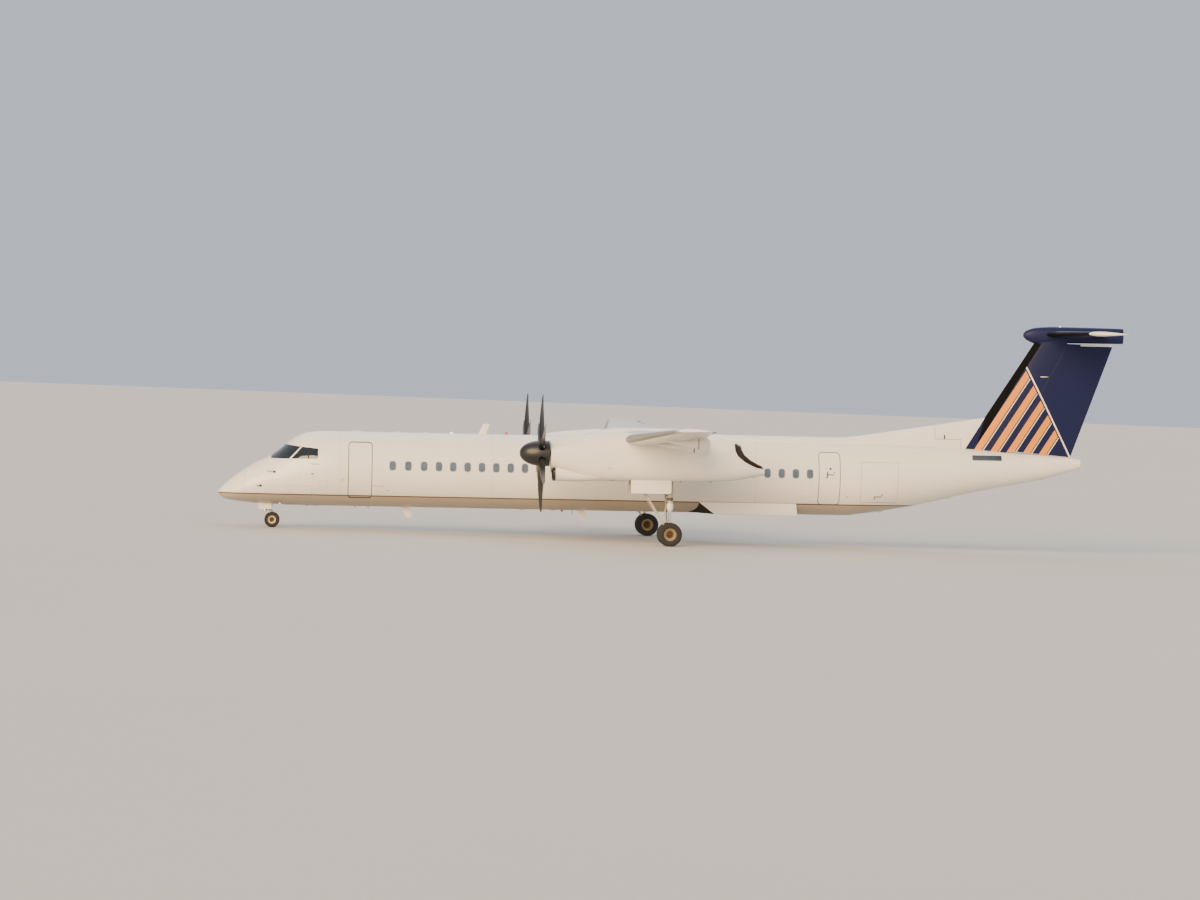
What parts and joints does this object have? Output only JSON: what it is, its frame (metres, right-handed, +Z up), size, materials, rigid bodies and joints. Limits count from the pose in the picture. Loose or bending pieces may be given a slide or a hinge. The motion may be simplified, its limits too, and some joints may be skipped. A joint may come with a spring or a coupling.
{
  "type": "turboprop airliner",
  "caption": "High-wing regional airliner with turboprop engines, T-tail, turning wheels and propellers, steering nose gear, moving tail and wing surfaces, and a fold-down airstair door.",
  "frame": {"origin": "centre of the bounding box's bottom face, on the ground under the airframe's middle", "axes": "+Z up, nose towards -X and tail towards +X, +Y towards the right wing tip; the fuselage stands one degree nose-down on its wheels"},
  "size_m": [32.7038, 28.42, 8.3598],
  "materials": {
    "white_paint": "gloss",
    "navy_paint": "gloss",
    "cockpit_glass": "gloss",
    "burnt_steel": "satin",
    "bare_metal": "satin",
    "black_composite": "satin",
    "gear_paint": "gloss",
    "wheel_alloy": "satin",
    "tyre_rubber": "matte"
  },
  "bodies": {
    "airframe": {"radome": "white_paint", "nose_section": "white_paint", "left_cockpit_glazing": "cockpit_glass", "right_cockpit_glazing": "cockpit_glass", "forward_fuselage": "white_paint", "centre_fuselage": "white_paint", "rear_fuselage": "white_paint", "aft_passenger_door": "white_paint", "baggage_door": "white_paint", "belly_fairing": "white_paint", "wing_centre_section": "white_paint", "left_outer_wing": "white_paint", "right_outer_wing": "white_paint", "left_inboard_flap": "white_paint", "right_inboard_flap": "white_paint", "left_outboard_flap": "white_paint", "right_outboard_flap": "white_paint", "wing_root_fairing": "white_paint", "dorsal_fin": "white_paint", "left_nacelle": "white_paint", "right_nacelle": "white_paint", "left_exhaust_nozzle": "burnt_steel", "right_exhaust_nozzle": "burnt_steel", "left_nacelle_tail": "white_paint", "right_nacelle_tail": "white_paint", "fin": "navy_paint", "tailplane": "navy_paint", "tail_bullet": "navy_paint", "left_main_gear_leg": "gear_paint", "right_main_gear_leg": "gear_paint", "left_drag_brace": "gear_paint", "right_drag_brace": "gear_paint", "left_inner_gear_door": "white_paint", "right_inner_gear_door": "white_paint", "left_outer_gear_door": "white_paint", "right_outer_gear_door": "white_paint", "nose_gear_leg": "gear_paint", "left_nose_gear_door": "white_paint", "right_nose_gear_door": "white_paint"},
    "left_propeller": {"left_propeller_blades": "black_composite", "left_spinner": "black_composite"},
    "right_propeller": {"right_propeller_blades": "black_composite", "right_spinner": "black_composite"},
    "airstair": {"airstair_door": "white_paint"},
    "rudder": {"rudder": "navy_paint"},
    "left_elevator": {"left_elevator": "navy_paint"},
    "right_elevator": {"right_elevator": "navy_paint"},
    "left_aileron": {"left_aileron": "white_paint"},
    "right_aileron": {"right_aileron": "white_paint"},
    "nose_steering": {"nose_fork": "gear_paint"},
    "nose_wheels": {"nose_wheel_rims": "wheel_alloy", "left_nose_tyre": "tyre_rubber", "right_nose_tyre": "tyre_rubber"},
    "left_main_wheels": {"left_main_wheel_rims": "wheel_alloy", "left_inner_main_tyre": "tyre_rubber", "left_outer_main_tyre": "tyre_rubber"},
    "right_main_wheels": {"right_main_wheel_rims": "wheel_alloy", "right_inner_main_tyre": "tyre_rubber", "right_outer_main_tyre": "tyre_rubber"}
  },
  "joints": [
    {"name": "left_propeller_spin", "type": "hinge", "parent": "airframe", "child": "left_propeller", "pos_m": [-5.06729, -4.4, 3.09732], "axis": [0.9998, 0, 0.0175], "continuous": true},
    {"name": "right_propeller_spin", "type": "hinge", "parent": "airframe", "child": "right_propeller", "pos_m": [-5.06729, 4.4, 3.09732], "axis": [0.9998, 0, 0.0175], "continuous": true},
    {"name": "airstair_hinge", "type": "hinge", "parent": "airframe", "child": "airstair", "pos_m": [-11.70538, -0.88365, 1.21118], "axis": [0.9998, 0, 0.0175], "range_deg": [0, 120]},
    {"name": "rudder_hinge", "type": "hinge", "parent": "airframe", "child": "rudder", "pos_m": [12.25623, 0, 3.61974], "axis": [0.4472, 0, 0.8944], "range_deg": [-18, 18]},
    {"name": "left_elevator_hinge", "type": "hinge", "parent": "airframe", "child": "left_elevator", "pos_m": [14.80252, -0.3, 8.06485], "axis": [-0.0601, 0.9982, -0.0011], "range_deg": [-25, 15]},
    {"name": "right_elevator_hinge", "type": "hinge", "parent": "airframe", "child": "right_elevator", "pos_m": [14.80252, 0.3, 8.06485], "axis": [0.0601, 0.9982, 0.0011], "range_deg": [-25, 15]},
    {"name": "left_aileron_hinge", "type": "hinge", "parent": "airframe", "child": "left_aileron", "pos_m": [-0.33005, -9.5, 3.97714], "axis": [0.0228, 0.9987, -0.0462], "range_deg": [-18, 18]},
    {"name": "right_aileron_hinge", "type": "hinge", "parent": "airframe", "child": "right_aileron", "pos_m": [-0.33005, 9.5, 3.97714], "axis": [-0.0228, 0.9987, 0.0462], "range_deg": [-18, 18]},
    {"name": "nose_steering_pivot", "type": "hinge", "parent": "airframe", "child": "nose_steering", "pos_m": [-14.46943, 0, 0.27266], "axis": [0, 0, 1], "range_deg": [-70, 70]},
    {"name": "nose_wheel_spin", "type": "hinge", "parent": "nose_steering", "child": "nose_wheels", "pos_m": [-14.39943, 0, 0.27266], "axis": [0, 1, 0], "continuous": true},
    {"name": "left_main_wheel_spin", "type": "hinge", "parent": "airframe", "child": "left_main_wheels", "pos_m": [-0.45982, -4.4, 0.41732], "axis": [0, 1, 0], "continuous": true},
    {"name": "right_main_wheel_spin", "type": "hinge", "parent": "airframe", "child": "right_main_wheels", "pos_m": [-0.45982, 4.4, 0.41732], "axis": [0, 1, 0], "continuous": true}
  ],
  "couplings": [
    {"joint": "right_elevator_hinge", "follows": "left_elevator_hinge", "ratio": 1},
    {"joint": "right_aileron_hinge", "follows": "left_aileron_hinge", "ratio": -1}
  ]
}
